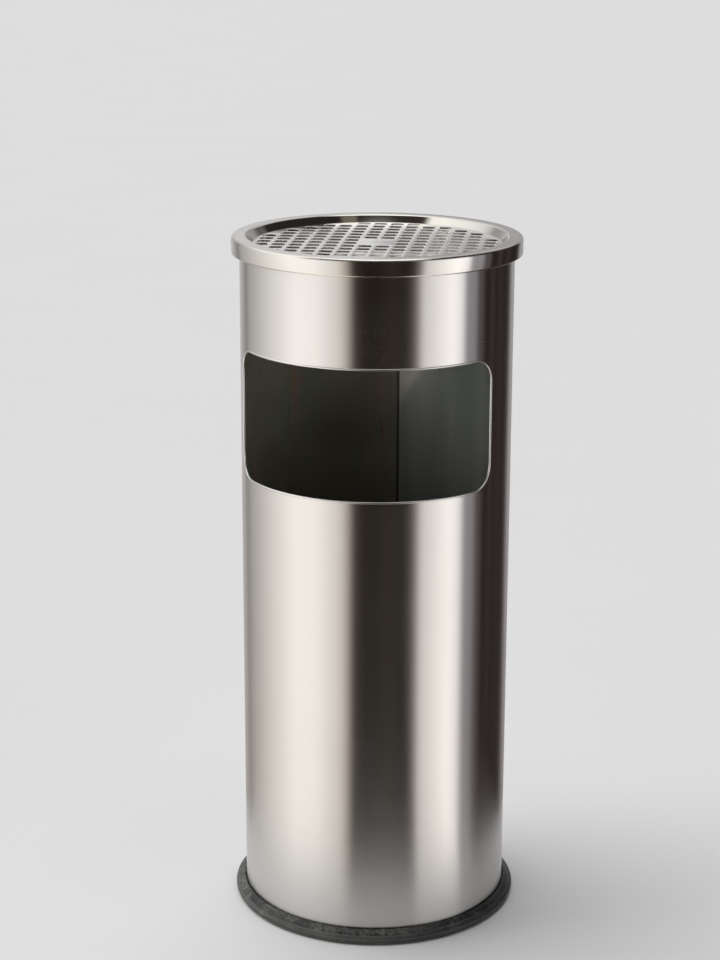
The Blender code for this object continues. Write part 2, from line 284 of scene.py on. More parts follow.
# %% Painted surround
BACKDROP = (0.735, 0.735, 0.755)
LOW_LIGHT = [  # compass angle from the camera's side towards the right, then the colour
    (-180, (0.76, 0.76, 0.76)), (-147, (0.44, 0.43, 0.43)), (-141, (0.24, 0.23, 0.22)),
    (-135, (0.52, 0.51, 0.50)), (-122, (0.66, 0.65, 0.63)), (-88, (1.20, 1.19, 1.17)),
    (-72, (1.46, 1.45, 1.43)), (-52, (1.44, 1.43, 1.41)), (-38, (1.14, 1.13, 1.11)),
    (-30, (0.98, 0.95, 0.91)), (-24, (0.55, 0.51, 0.46)), (-18.5, (0.036, 0.026, 0.019)),
    (-6, (0.017, 0.013, 0.009)), (15, (0.036, 0.029, 0.021)), (21, (0.018, 0.014, 0.011)),
    (29, (0.030, 0.025, 0.021)), (34, (0.22, 0.20, 0.19)), (39, (0.94, 0.93, 0.93)),
    (66, (1.64, 1.63, 1.63)), (76, (1.42, 1.41, 1.43)), (80, (0.36, 0.35, 0.38)),
    (91, (0.42, 0.41, 0.44)), (94, (0.030, 0.023, 0.021)), (98, (0.20, 0.17, 0.17)),
    (101, (0.022, 0.016, 0.015)), (109, (0.022, 0.016, 0.015)), (112, (0.10, 0.08, 0.08)),
    (116, (0.018, 0.013, 0.012)), (127, (0.060, 0.045, 0.043)), (131, (0.024, 0.018, 0.016)),
    (144, (0.026, 0.021, 0.020)), (153, (0.42, 0.41, 0.42)),
]
HIGH_LIGHT = [
    (-180, (0.92, 0.92, 0.92)), (-150, (1.05, 1.05, 1.05)), (-100, (1.45, 1.44, 1.40)),
    (-72, (1.45, 1.44, 1.38)), (-64, (0.05, 0.04, 0.032)), (27, (0.030, 0.024, 0.019)),
    (32, (0.24, 0.21, 0.17)), (47, (0.24, 0.21, 0.17)), (52, (0.03, 0.025, 0.022)),
    (133, (0.03, 0.027, 0.027)), (140, (0.50, 0.48, 0.46)), (158, (0.86, 0.86, 0.86)),
]
OVERHEAD = (0.95, 0.95, 0.95)  # as a share of BRIGHTEST: a small soft lamp straight above
WARM_GROUND = (1.0, 0.945, 0.885)  # light from below the table's edge has bounced off warm surfaces
BRIGHTEST = 2.0  # ramp colours are kept as a share of this


def paint_ramp(nodes, stops):
    """A colour ramp over the whole compass, from -180 to 180 degrees."""
    ramp = nodes.new("ShaderNodeValToRGB")
    elements = ramp.color_ramp.elements
    while len(elements) < len(stops):
        elements.new(0.5)
    for element, (angle, colour) in zip(elements, stops):
        element.position = (angle + 180) / 360
        element.color = (*(c / BRIGHTEST for c in colour), 1)
    return ramp


def paint_surround():
    """Colour by direction: compass angle picks from the ramps, and height blends between them."""
    world = bpy.data.worlds.new("studio")
    bpy.context.scene.world = world
    world.use_nodes = True
    nodes, links = world.node_tree.nodes, world.node_tree.links
    nodes.clear()
    direction = nodes.new("ShaderNodeTexCoord")
    turn = nodes.new("ShaderNodeVectorRotate")
    turn.rotation_type = "Z_AXIS"
    turn.inputs["Angle"].default_value = -VIEW_TURN
    links.new(direction.outputs["Generated"], turn.inputs["Vector"])
    split = nodes.new("ShaderNodeSeparateXYZ")
    links.new(turn.outputs[0], split.inputs[0])
    back = nodes.new("ShaderNodeMath")
    back.operation = "MULTIPLY"
    back.inputs[1].default_value = -1
    links.new(split.outputs["Y"], back.inputs[0])
    compass = nodes.new("ShaderNodeMath")
    compass.operation = "ARCTAN2"
    links.new(split.outputs["X"], compass.inputs[0])
    links.new(back.outputs[0], compass.inputs[1])
    share = nodes.new("ShaderNodeMapRange")
    share.inputs["From Min"].default_value = -math.pi
    share.inputs["From Max"].default_value = math.pi
    links.new(compass.outputs[0], share.inputs["Value"])
    ramps = []
    for stops in (LOW_LIGHT, HIGH_LIGHT):
        ramp = paint_ramp(nodes, stops)
        links.new(share.outputs[0], ramp.inputs[0])
        ramps.append(ramp.outputs[0])

    def blend(heights, first, second, kind="MIX"):
        """From the first colour to the second as the direction rises through the two heights."""
        height = nodes.new("ShaderNodeMapRange")
        height.interpolation_type = "SMOOTHSTEP"
        height.inputs["From Min"].default_value = heights[0]
        height.inputs["From Max"].default_value = heights[1]
        links.new(split.outputs["Z"], height.inputs["Value"])
        mix = nodes.new("ShaderNodeMix")
        mix.data_type = "RGBA"
        mix.blend_type = kind
        links.new(height.outputs[0], mix.inputs["Factor"])
        links.new(first, mix.inputs["A"])
        if isinstance(second, tuple):
            mix.inputs["B"].default_value = (*second, 1)
        else:
            links.new(second, mix.inputs["B"])
        return mix.outputs["Result"]

    low = blend((-0.17, -0.42), ramps[0], WARM_GROUND, "MULTIPLY")
    colour = blend((0.22, 0.60), low, ramps[1])
    colour = blend((0.89, 0.96), colour, OVERHEAD)
    light = nodes.new("ShaderNodeBackground")
    light.inputs["Strength"].default_value = BRIGHTEST
    links.new(colour, light.inputs["Color"])
    backdrop = nodes.new("ShaderNodeBackground")
    backdrop.inputs["Color"].default_value = (*BACKDROP, 1)
    seen = nodes.new("ShaderNodeLightPath")
    choose = nodes.new("ShaderNodeMixShader")
    links.new(seen.outputs["Is Camera Ray"], choose.inputs[0])
    links.new(light.outputs[0], choose.inputs[1])
    links.new(backdrop.outputs[0], choose.inputs[2])
    output = nodes.new("ShaderNodeOutputWorld")
    links.new(choose.outputs[0], output.inputs[0])


paint_surround()
print("surround stops:", len(LOW_LIGHT), "level,", len(HIGH_LIGHT), "high")

# %% [markdown]
# The lamp overhead lights the table evenly but gives no shadow with a direction. So a weak,
# wide and soft sun stands to the left and a little behind. It is left out of reflections: it
# only lights matt surfaces and gives the bin its soft shadow.

# %% Soft key light
SUN_COMPASS = math.radians(-112)  # from the camera's side, towards the right
SUN_HEIGHT = math.radians(52)
SUN_SPREAD = math.radians(50)
SUN_STRENGTH = 0.35
sun = bpy.data.objects.new("soft_key", bpy.data.lights.new("soft_key", "SUN"))
sun.data.energy = SUN_STRENGTH
sun.data.angle = SUN_SPREAD
sun.rotation_euler = (math.pi / 2 - SUN_HEIGHT, 0, SUN_COMPASS + VIEW_TURN)
sun.visible_glossy = False
bpy.context.scene.collection.objects.link(sun)
print("key light", sun.data.energy)

# %% [markdown]
# ## Finishes
#
# Every finish is a Principled shader with patterns from nodes. Coordinates come in two kinds:
# the sheet's own places in metres, which follow brushing round a turned piece, and object
# coordinates for dust, stains and cast texture. A small class keeps the node code short.

# %% Finish helper
class Finish:
    """A material under construction: each method adds a node and returns its output."""

    def __init__(self, name, metallic=0.0, colour=(0.5, 0.5, 0.5), roughness=0.5):
        self.material = bpy.data.materials.new(name)
        self.material.use_nodes = True
        self.nodes = self.material.node_tree.nodes
        self.links = self.material.node_tree.links
        self.shader = self.nodes["Principled BSDF"]
        self.shader.inputs["Base Color"].default_value = (*colour, 1)
        self.shader.inputs["Metallic"].default_value = metallic
        self.shader.inputs["Roughness"].default_value = roughness
        self.material.diffuse_color = (*colour, 1)
        self.places = self.nodes.new("ShaderNodeTexCoord")

    def set(self, socket, value):
        if hasattr(value, "is_output"):
            self.links.new(value, self.shader.inputs[socket])
        else:
            self.shader.inputs[socket].default_value = value
        return self

    def coordinates(self, source="Object", scale=(1, 1, 1), turn=(0, 0, 0)):
        mapping = self.nodes.new("ShaderNodeMapping")
        mapping.inputs["Scale"].default_value = scale
        mapping.inputs["Rotation"].default_value = turn
        self.links.new(self.places.outputs[source], mapping.inputs["Vector"])
        return mapping.outputs[0]

    def noise(self, vector, scale=1.0, detail=3.0, roughness=0.5, distortion=0.0):
        node = self.nodes.new("ShaderNodeTexNoise")
        node.inputs["Scale"].default_value = scale
        node.inputs["Detail"].default_value = detail
        node.inputs["Roughness"].default_value = roughness
        node.inputs["Distortion"].default_value = distortion
        self.links.new(vector, node.inputs["Vector"])
        return node.outputs["Fac"]

    def cells(self, vector, scale, feature="F1", output="Distance"):
        node = self.nodes.new("ShaderNodeTexVoronoi")
        node.feature = feature
        node.inputs["Scale"].default_value = scale
        self.links.new(vector, node.inputs["Vector"])
        return node.outputs[output]

    def ramp(self, value, low, high, to_low=0.0, to_high=1.0, smooth=False):
        node = self.nodes.new("ShaderNodeMapRange")
        node.interpolation_type = "SMOOTHSTEP" if smooth else "LINEAR"
        for socket, number in zip(("From Min", "From Max", "To Min", "To Max"), (low, high, to_low, to_high)):
            node.inputs[socket].default_value = number
        self.links.new(value, node.inputs["Value"])
        return node.outputs[0]

    def math(self, operation, *values):
        node = self.nodes.new("ShaderNodeMath")
        node.operation = operation
        for socket, value in zip(node.inputs, values):
            if hasattr(value, "is_output"):
                self.links.new(value, socket)
            else:
                socket.default_value = value
        return node.outputs[0]

    def mix(self, factor, first, second):
        node = self.nodes.new("ShaderNodeMix")
        node.data_type = "RGBA"
        for socket, value in zip(("Factor", "A", "B"), (factor, first, second)):
            if hasattr(value, "is_output"):
                self.links.new(value, node.inputs[socket])
            elif socket == "Factor":
                node.inputs[socket].default_value = value
            else:
                node.inputs[socket].default_value = (*value, 1)
        return node.outputs["Result"]

    def split(self, vector):
        node = self.nodes.new("ShaderNodeSeparateXYZ")
        self.links.new(vector, node.inputs[0])
        return node.outputs

    def bump(self, height, strength, distance):
        node = self.nodes.new("ShaderNodeBump")
        node.inputs["Strength"].default_value = strength
        node.inputs["Distance"].default_value = distance
        self.links.new(height, node.inputs["Height"])
        self.set("Normal", node.outputs[0])
        return self


# %% [markdown]
# ### Hairline steel
#
# The tube is brushed round and round, so each scratch is a hair wide and a hand long. Light
# is smeared up and down across the scratches and stays sharp along them. Anisotropy set to
# a quarter turn does that smearing, and stretched noise draws the scratches themselves.

# %% Hairline steel
TUBE_LENGTH = 2 * math.pi * 118.4 * MM


def hairline_steel(name, colour=(0.64, 0.625, 0.605), roughness=0.25, anisotropy=0.97):
    finish = Finish(name, 1.0, colour, roughness)
    scratches = finish.noise(finish.coordinates("UV", (9, 9000, 1)), 1, 2, 0.6)
    broad = finish.noise(finish.coordinates("UV", (2, 1300, 1)), 1, 3, 0.6)
    smudges = finish.noise(finish.coordinates("Object"), 11, 4, 0.55, 0.4)
    darker = tuple(c * 0.975 for c in colour)
    lighter = tuple(min(1, c * 1.02) for c in colour)
    lines = finish.math("ADD", finish.math("MULTIPLY", scratches, 0.6), finish.math("MULTIPLY", broad, 0.4))
    finish.set("Base Color", finish.mix(finish.ramp(lines, 0.3, 0.7), darker, lighter))
    rough = finish.math("ADD", finish.ramp(lines, 0.3, 0.7, roughness - 0.012, roughness + 0.012),
                        finish.ramp(smudges, 0.55, 0.75, 0.0, 0.02))
    finish.set("Roughness", rough)
    finish.set("Anisotropic", anisotropy)
    finish.set("Anisotropic Rotation", 0.25)
    finish.bump(scratches, 0.02, 0.01 * MM)
    return finish.material


tube_steel = hairline_steel("hairline_steel")
print("finish:", tube_steel.name)

# %% [markdown]
# ### Polished and satin steel
#
# The ashtray was pressed from bright sheet. Its bowl keeps a near-mirror with faint drawing
# marks, in a darker tone that is painted shade under the strainer, and its flat rim and skirt
# are rubbed to a satin. The strainer is bright sheet too, with a few fine scratches in all
# directions.

# %% Polished and satin steel
def bright_steel(name, colour, roughness, scratch=0.05):
    finish = Finish(name, 1.0, colour, roughness)
    place = finish.coordinates("Object")
    cloud = finish.noise(place, 16, 4, 0.6, 0.5)
    first = finish.noise(finish.coordinates("Object", (2600, 60, 60), (0, 0, 0.5)), 1, 2, 0.5)
    second = finish.noise(finish.coordinates("Object", (70, 2300, 70), (0, 0, -0.3)), 1, 2, 0.5)
    lines = finish.math("MULTIPLY", finish.ramp(first, 0.45, 0.75), finish.ramp(second, 0.35, 0.75))
    darker = tuple(c * 0.92 for c in colour)
    finish.set("Base Color", finish.mix(finish.ramp(cloud, 0.35, 0.7), darker, colour))
    gloss = finish.ramp(cloud, 0.3, 0.75, roughness * 0.8, roughness * 1.35)
    finish.set("Roughness", finish.math("ADD", gloss, finish.math("MULTIPLY", lines, scratch)))
    finish.bump(cloud, 0.04, 0.05 * MM)
    return finish.material


wall_steel = bright_steel("polished_steel", (0.64, 0.62, 0.585), 0.07, 0.03)
# painted shade: the bowl is a darker steel than the wall, standing for the shade under the strainer
bowl_steel = bright_steel("drawn_steel_and_shade", (0.54, 0.52, 0.49), 0.27)
strainer_bright = bright_steel("strainer_bright", (0.86, 0.85, 0.84), 0.20, 0.06)
lip_steel = bright_steel("lip_steel", (0.72, 0.71, 0.69), 0.28)
satin_steel = hairline_steel("satin_steel", (0.66, 0.635, 0.605), 0.20, 0.9)
print("finishes:", wall_steel.name, bowl_steel.name, strainer_bright.name, lip_steel.name, satin_steel.name)

# %% [markdown]
# ### Inside lacquer
#
# The inside of the tube has a thin greenish-black lacquer with a soft gloss. The weld runs
# down the back as a dark brown line, and beside its upper end lies a pale straw patch with a
# ragged edge. The brown streaks, the full brown beside one side of the weld and the blue-grey
# sheen that grows towards its other side are painted reflections of the room in the lacquer.

# %% Inside lacquer
# where the pale straw patch beside the weld starts, becomes full and ends, and how wide it grows
PATCH_FOOT, PATCH_FULL, PATCH_SHOULDER = 425 * MM, 455 * MM, 468 * MM
PATCH_WIDTH = 26 * MM


def inside_lacquer():
    finish = Finish("inside_lacquer", 0.0, (0.13, 0.13, 0.115), 0.33)
    place = finish.coordinates("Object")
    runs = finish.noise(finish.coordinates("UV", (160, 9, 1)), 1, 4, 0.6)
    broad = finish.noise(finish.coordinates("UV", (34, 2.5, 1)), 1, 3, 0.5)
    grain = finish.noise(place, 420, 3, 0.6)
    cloud = finish.noise(place, 14, 3, 0.5)
    across = finish.split(finish.coordinates("UV"))[0]
    height = finish.split(place)[2]
    green = finish.mix(finish.ramp(cloud, 0.35, 0.7), (0.250, 0.243, 0.190), (0.330, 0.322, 0.260))
    # painted reflection: brown streaks over the lacquer stand for the warm room mirrored in it
    warm_reflected_lacquer = finish.mix(finish.ramp(broad, 0.50, 0.68, smooth=True), green, (0.430, 0.290, 0.190))
    # painted reflection: a blue-grey sheen that grows towards the far side of the weld
    painted_cool_reflection = finish.mix(finish.ramp(broad, 0.35, 0.65), (0.330, 0.365, 0.345), (0.480, 0.520, 0.505))
    beyond = finish.ramp(across, TUBE_LENGTH / 2, TUBE_LENGTH * 0.94)
    cool_reflection_share = finish.ramp(beyond, 0.25, 0.95, smooth=True)
    from_seam = finish.math("SUBTRACT", TUBE_LENGTH, across)
    base = finish.mix(cool_reflection_share, warm_reflected_lacquer, painted_cool_reflection)
    # painted reflection: full brown beside the near side of the weld, fading over 90 mm
    warm_reflection_share = finish.ramp(across, 0, 90 * MM, 1, 0, smooth=True)
    base = finish.mix(warm_reflection_share, base, warm_reflected_lacquer)
    wobble = finish.ramp(runs, 0.3, 0.7, -0.5 * MM, 0.5 * MM)
    # a pale straw patch beside the weld's upper end, with a ragged edge
    low_edge = finish.ramp(height, PATCH_FOOT, PATCH_SHOULDER, 0.0, PATCH_WIDTH)
    ragged = finish.math("ADD", from_seam, finish.math("MULTIPLY", wobble, 5))
    pale_patch = finish.ramp(finish.math("SUBTRACT", ragged, low_edge), -7 * MM, 4 * MM, 1, 0, smooth=True)
    pale_patch = finish.math("MULTIPLY", pale_patch, finish.ramp(height, PATCH_FOOT, PATCH_FULL))
    base = finish.mix(pale_patch, base, (0.92, 0.84, 0.74))
    either = finish.math("MINIMUM", across, from_seam)
    near = finish.ramp(finish.math("ADD", either, wobble), 0.8 * MM, 1.6 * MM, 1, 0, smooth=True)
    base = finish.mix(finish.math("MULTIPLY", near, 0.92), base, (0.030, 0.012, 0.009))
    finish.set("Base Color", base)
    finish.set("Roughness", finish.ramp(runs, 0.25, 0.75, 0.26, 0.34))
    finish.set("Specular IOR Level", 0.9)
    finish.bump(finish.math("ADD", grain, runs), 0.06, 0.05 * MM)
    return finish.material


lacquer = inside_lacquer()
print("finish:", lacquer.name)

# %% [markdown]
# ### Rubber
#
# The ring is black rubber that has gathered floor dust. The slope that faces up is mottled
# and pitted, and the belly below the crease is wiped smooth in long streaks. Over the dust,
# painted light and shade make the -X side lighter and the +X side darker.

# %% Rubber
def dusty_rubber():
    finish = Finish("dusty_rubber", 0.0, (0.03, 0.03, 0.032), 0.62)
    place = finish.coordinates("Object")
    patches = finish.noise(place, 42, 5, 0.70, 0.6)
    specks = finish.noise(place, 260, 4, 0.70)
    pits = finish.cells(place, 210)
    streaks = finish.noise(finish.coordinates("UV", (9, 520, 1)), 1, 4, 0.6)
    height = finish.split(place)[2]
    on_top = finish.ramp(height, 7.6 * MM, 8.6 * MM)
    mottled = finish.math("MULTIPLY", finish.ramp(patches, 0.38, 0.60), finish.ramp(specks, 0.40, 0.60))
    mottled = finish.math("MULTIPLY", mottled, finish.ramp(pits, 0.12, 0.30))
    wiped = finish.math("ADD", finish.ramp(streaks, 0.42, 0.68, 0.10, 0.62),
                        finish.ramp(patches, 0.45, 0.65, 0.0, 0.25))
    dust_and_side_shade = finish.math("ADD", finish.math("MULTIPLY", mottled, on_top),
                       finish.math("MULTIPLY", wiped, finish.math("SUBTRACT", 1, on_top)))
    # painted light and shade: the -X side is lightened and the +X side darkened, as if lit from the left
    painted_side_light = finish.ramp(finish.split(place)[0], -0.125, 0.125, 1.25, 0.25)
    dust_and_side_shade = finish.math("MULTIPLY", dust_and_side_shade, painted_side_light)
    finish.set("Base Color", finish.mix(dust_and_side_shade, (0.009, 0.010, 0.010), (0.215, 0.225, 0.207)))
    finish.set("Roughness", finish.ramp(dust_and_side_shade, 0.0, 1.0, 0.40, 0.85))
    finish.bump(finish.math("ADD", finish.math("MULTIPLY", pits, 1.5), specks), 0.5, 0.35 * MM)
    return finish.material


rubber = dusty_rubber()
print("finish:", rubber.name)

# %% [markdown]
# ### Galvanised sheet and zinc wire
#
# Zinc freezes into flat crystals on hot-dipped sheet. Voronoi cells stand for the crystals:
# each has its own grey and its own gloss. The bail and the rivets are plated, with a finer
# and more even grain.

# %% Galvanised sheet and zinc wire
def galvanised():
    finish = Finish("galvanised_sheet", 1.0, (0.50, 0.515, 0.53), 0.40)
    bent = finish.coordinates("Object")
    crystals = finish.cells(bent, 95, output="Color")
    shade = finish.split(crystals)[0]
    fine = finish.noise(bent, 260, 3, 0.6)
    colour = finish.mix(shade, (0.40, 0.415, 0.43), (0.60, 0.615, 0.63))
    finish.set("Base Color", colour)
    finish.set("Roughness", finish.math("ADD", finish.ramp(shade, 0, 1, 0.30, 0.46),
                                        finish.ramp(fine, 0.4, 0.7, 0.0, 0.08)))
    finish.bump(finish.math("ADD", shade, fine), 0.10, 0.05 * MM)
    return finish.material


def zinc_plate():
    finish = Finish("zinc_plate", 1.0, (0.58, 0.585, 0.59), 0.30)
    place = finish.coordinates("Object")
    grain = finish.noise(place, 700, 3, 0.6)
    cloud = finish.noise(place, 60, 4, 0.6)
    dull, bright = (0.50, 0.50, 0.495), (0.63, 0.635, 0.64)
    finish.set("Base Color", finish.mix(finish.ramp(cloud, 0.35, 0.7), dull, bright))
    finish.set("Roughness", finish.ramp(grain, 0.3, 0.7, 0.24, 0.40))
    finish.bump(grain, 0.10, 0.03 * MM)
    return finish.material


zinc_sheet = galvanised()
zinc_wire = zinc_plate()
print("finishes:", zinc_sheet.name, zinc_wire.name)

# %% [markdown]
# ## Floor
#
# A pale table top. It is one flat disc near the bin and one wide ring beyond it, in the same
# paint. The ring is left out of reflections, so that the steel mirrors the painted surround
# there and the disc near its foot.

# %% Floor
def pale_floor():
    finish = Finish("pale_floor", 0.0, (0.90, 0.90, 0.915), 0.7)
    cloud = finish.noise(finish.coordinates("Object"), 3, 3, 0.5)
    dull, bright = (0.895, 0.895, 0.910), (0.905, 0.905, 0.920)
    finish.set("Base Color", finish.mix(finish.ramp(cloud, 0.3, 0.7), dull, bright))
    finish.set("Specular IOR Level", 0.2)
    return finish.material


def flat_ring(name, inner, outer, material):
    """A level ring of quads between two circles, or a disc where the inner radius is 0."""
    angles = np.linspace(0, 2 * math.pi, 129)
    radii = np.array([inner, outer])[:, None]
    points = np.stack([radii * np.cos(angles), radii * np.sin(angles), 0 * radii * angles], axis=2)
    vertices, quads = grid_patch(points)[:2]
    mesh = bpy.data.meshes.new(name)
    mesh.from_pydata(vertices.tolist(), [], quads.tolist())
    mesh.materials.append(material)
    ring = bpy.data.objects.new(name, mesh)
    bpy.context.scene.collection.objects.link(ring)
    return ring


TABLE_RADIUS = 0.25
floor_paint = pale_floor()
table_near = flat_ring("table_near", 0, TABLE_RADIUS, floor_paint)
table_far = flat_ring("table_far", TABLE_RADIUS, 60, floor_paint)
table_far.visible_glossy = False
print("floor:", table_near.name, table_far.name)

# %% [markdown]
# ## The tube
#
# The body is one sheet, rolled into a tube and welded down the back. Its top is rolled
# outwards into a bead and a wide window is cut in its front. It could be a plain cylinder
# with a Boolean cut, but that leaves long thin faces that catch the light. Instead the wall
# is a grid whose columns crowd together at the window's round corners, and whose rows bend
# to the window's outline: the cells inside the window are simply left out. The outline of
# the section runs up the outside, round the bead, down the inside and across the foot.

# %% The tube
SHEET = 0.8 * MM
TUBE_MIDDLE = 118.4 * MM
TUBE_FOOT = 3.4 * MM
BEAD_CENTRE = (121.0 * MM, 605.8 * MM)
BEAD_RADIUS = 2.6 * MM
LIP_RADIUS = 1.0 * MM
WINDOW_LOW = 404.3 * MM - LIP_RADIUS
WINDOW_HIGH = 516.1 * MM + LIP_RADIUS
WINDOW_HALF = TUBE_MIDDLE * math.radians(64.6) + LIP_RADIUS
WINDOW_CORNER = 20.5 * MM + LIP_RADIUS
FRONT = 2 * math.pi  # the front's angle, counted on from the seam
BEND = 24 * MM  # how far from the window the rows are bent


def window_columns():
    """Angles of the wall's columns from seam to seam, and how far the window's round corners
    lift its lower edge at each. At the corners the columns follow equal steps of arc."""
    inner = WINDOW_HALF - WINDOW_CORNER
    corner = np.radians(np.linspace(0, 90, 11))
    bend = inner + WINDOW_CORNER * np.sin(corner)
    straight = np.linspace(-inner, inner, 91)[1:-1]
    across = np.concatenate([-bend[::-1], straight, bend])
    lift = WINDOW_CORNER - np.sqrt(np.maximum(
        WINDOW_CORNER ** 2 - np.maximum(np.abs(across) - inner, 0) ** 2, 0))
    window = FRONT + across / TUBE_MIDDLE
    before = np.linspace(SEAM_TURN, window[0], 79)[:-1]
    after = np.linspace(window[-1], SEAM_TURN + 2 * math.pi, 77)[1:-1]
    angles = np.concatenate([before, window, after])
    lifts = np.full(len(angles), WINDOW_CORNER)
    lifts[len(before):len(before) + len(window)] = lift
    return angles, lifts, len(before), len(before) + len(window) - 1


def make_tube():
    angles, lifts, first, last = window_columns()
    low, high = WINDOW_LOW + lifts, WINDOW_HIGH - lifts
    flat = np.ones(len(angles))
    blend = np.linspace(0, 1, 6)[:, None]
    lower = np.concatenate([
        np.linspace(TUBE_FOOT, WINDOW_LOW - BEND, 9)[:-1, None] * flat,
        (WINDOW_LOW - BEND) * (1 - blend) + low * blend])
    middle = low + (high - low) * np.linspace(0, 1, 13)[1:-1, None]
    upper = np.concatenate([
        high * (1 - blend) + (WINDOW_HIGH + BEND) * blend,
        np.linspace(WINDOW_HIGH + BEND, BEAD_CENTRE[1], 6)[1:, None] * flat])
    wall = np.concatenate([lower, middle, upper])
    bead = joined((TUBE_MIDDLE, BEAD_CENTRE[1] - 1 * MM), arc(BEAD_CENTRE, BEAD_RADIUS, 180, -110, 26))
    curl = sheet_outline(bead, SHEET)[1:-4]
    inside, outside = TUBE_MIDDLE - SHEET / 2, TUBE_MIDDLE + SHEET / 2
    radii = np.concatenate([np.full(wall.shape, inside), curl[:, :1] * flat, np.full(wall.shape, outside)])
    heights = np.concatenate([wall, curl[:, 1:] * flat, wall[::-1]])
    points = np.stack([radii * np.sin(angles), -radii * np.cos(angles), heights], axis=2)
    count, total = len(wall), len(points)
    low_row, high_row = len(lower) - 1, len(lower) + len(middle)
    keep = np.ones((total, len(angles)), bool)
    keep[low_row:high_row, first:last] = False
    keep[total - 1 - high_row:total - 1 - low_row, first:last] = False
    along = (np.append(angles, SEAM_TURN + 2 * math.pi) - SEAM_TURN) * TUBE_MIDDLE
    across = distances(np.column_stack([radii[:, 0], heights[:, 0]]))
    across = np.append(across, across[-1] + SHEET)
    inner_cell = np.arange(total) < count - 1
    patches = []
    for material, chosen in ((0, ~inner_cell), (1, inner_cell)):
        patches.append(grid_patch(points, along, across, True, True, keep & chosen[:, None], material))
    for row in (low_row, high_row):
        edge = points[[row, total - 1 - row], first:last + 1]
        patches.append(grid_patch(edge, smooth=False))
    for column in (first, last):
        edge = points[low_row:high_row + 1, column]
        mirrored = points[total - 1 - high_row:total - low_row, column][::-1]
        patches.append(grid_patch(np.stack([edge, mirrored]), smooth=False))
    return add_piece("tube", patches, [tube_steel, lacquer], "body", ["body_shell"])


make_tube()

# %% [markdown]
# ## The window's rolled lip
#
# The cut edge is rolled over a wire so that nobody is scratched. It is a thin round bead that
# follows the window's outline on the tube, so it is swept: the outline is a rectangle with
# round corners, wrapped round the axis.

# %% The window's rolled lip
def round_rectangle(half_width, half_height, corner, corner_steps=8, spacing=2 * MM):
    """Closed outline of a rectangle with round corners, centred on the origin, anticlockwise."""
    runs = []
    for turn, (x, y) in enumerate(((1, 1), (-1, 1), (-1, -1), (1, -1))):
        centre = (x * (half_width - corner), y * (half_height - corner))
        runs.append(arc(centre, corner, 90 * turn, 90 * turn + 90, corner_steps))
    dense = []
    for run, following in zip(runs, runs[1:] + runs[:1]):
        steps = max(1, round(np.linalg.norm(following[0] - run[-1]) / spacing))
        dense += [run, line(run[-1], following[0], steps)[1:-1]]
    return np.concatenate(dense)


def wrapped(flat, radius, facing=0.0):
    """Flat places (sideways, height) wrapped round the axis at a radius; facing 0 is the front."""
    angles = facing + flat[:, 0] / radius
    return np.column_stack([radius * np.sin(angles), -radius * np.cos(angles), flat[:, 1]])


def make_lip():
    half_height = (WINDOW_HIGH - WINDOW_LOW) / 2
    outline = round_rectangle(WINDOW_HALF, half_height, WINDOW_CORNER, 14)
    path = wrapped(outline + (0, WINDOW_LOW + half_height), TUBE_MIDDLE)
    outward = path * (1, 1, 0) / TUBE_MIDDLE
    patch = tube(path, outward, LIP_RADIUS, 16, closed=True)
    return add_piece("window_lip", [patch], [lip_steel], "body")


make_lip()

# %% [markdown]
# ## Base ring and bottom plate
#
# The rubber ring is one moulding with a groove for the tube, and its section has a sharp
# sloped collar above a round belly. The bottom plate is pressed with a turned-down edge that
# slips inside the tube. Both are turned profiles.

# %% Base ring and bottom plate
def make_base_ring():
    section = np.array([
        (119.1, 9.6), (119.8, 11.8), (120.5, 12.6), (121.6, 12.1), (124.8, 9.6), (125.2, 8.4),
        (126.0, 8.1), (127.7, 6.7), (128.2, 4.9), (128.1, 3.2), (127.2, 1.2), (125.4, 0),
        (114.9, 0), (113.9, 1.0),
        (113.9, 10.4), (115.3, 11.4), (116.5, 11.4), (116.5, 3.1), (119.1, 3.1),
    ]) * MM
    outline = rounded(section, 0.5 * MM, 4)
    return add_piece("rubber_base_ring", [turned(outline)], [rubber], "body", ["base_ring"])


def make_bottom_plate():
    middle_radius, level, corner, step = 117.25 * MM, 17.6 * MM, 3 * MM, 1.6 * MM
    middle = joined(
        (0, level), (70 * MM, level),
        rounded([(70 * MM, level), (73 * MM, level - step), (80 * MM, level - step), (83 * MM, level),
                 (90 * MM, level)], 1.2 * MM, closed=False),
        arc((middle_radius - corner, level - corner), corner, 90, 0, 8),
        (middle_radius, TUBE_FOOT))
    outline = sheet_outline(middle, 0.9 * MM)
    return add_piece("pressed_bottom_plate", [turned(outline)], [satin_steel], "body",
                     ["bottom_plate"])


make_base_ring()
make_bottom_plate()

# %% [markdown]
# ## The ashtray
#
# One pressing makes the bowl, the seat for the strainer, the flat rim and the skirt, whose
# edge is folded inwards as a hem. Its middle line is drawn from the centre outwards. The bowl,
# the seat with the wall above it, and the rim with its skirt take different finishes, so after
# turning each face takes its finish by its distance from the axis.

# %% The ashtray
SEAT = 601.9 * MM


